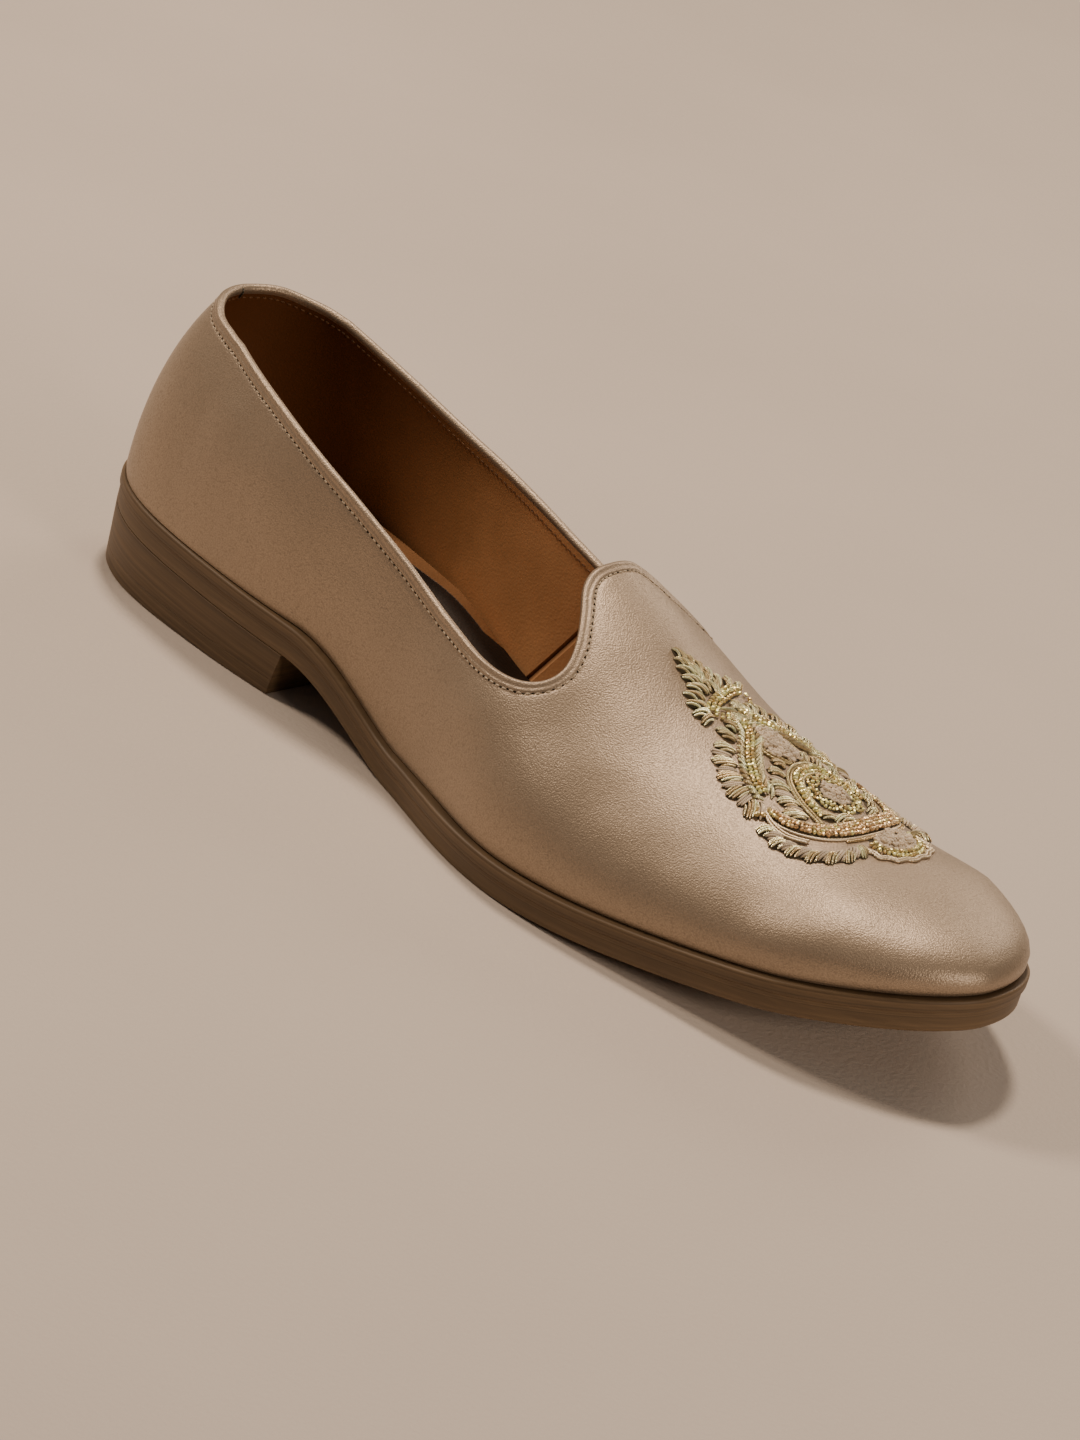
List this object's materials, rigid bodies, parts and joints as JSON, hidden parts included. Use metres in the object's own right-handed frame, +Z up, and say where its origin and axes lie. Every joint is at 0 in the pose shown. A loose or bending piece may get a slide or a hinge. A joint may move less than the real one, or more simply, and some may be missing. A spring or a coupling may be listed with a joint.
{
  "type": "embroidered loafer",
  "caption": "Empty right slip-on loafer: hollow leather upper with a scooped collar and raised metal-thread embroidery on the vamp, two-band sole with toe spring and a low heel.",
  "frame": {"origin": "on the floor, under the middle of the shoe's overall box", "axes": "+X from the heel to the toe, +Y to the inner (medial) side of the foot, +Z up"},
  "size_m": [0.295, 0.1002, 0.0778],
  "materials": {
    "upper_leather": "champagne metallic, finely pebbled, satin",
    "insole_sock": "matte charcoal sock with a tan heel pad",
    "sole_rubber": "taupe brown, finely lined edge",
    "heel_stack": "taupe brown, stacked look",
    "metal_thread": "pale gilt bullion wire, beads and cords"
  },
  "bodies": {
    "root": {"upper": "upper_leather", "insole": "insole_sock", "welt": "sole_rubber", "outsole": "sole_rubber", "heel_block": "heel_stack", "heel_lift": "sole_rubber", "motif_plume": "metal_thread", "motif_spray_lateral": "metal_thread", "motif_spray_medial": "metal_thread", "motif_flower": "metal_thread", "motif_roundel": "metal_thread", "motif_crescent": "metal_thread", "motif_pendant": "metal_thread"}
  },
  "joints": []
}
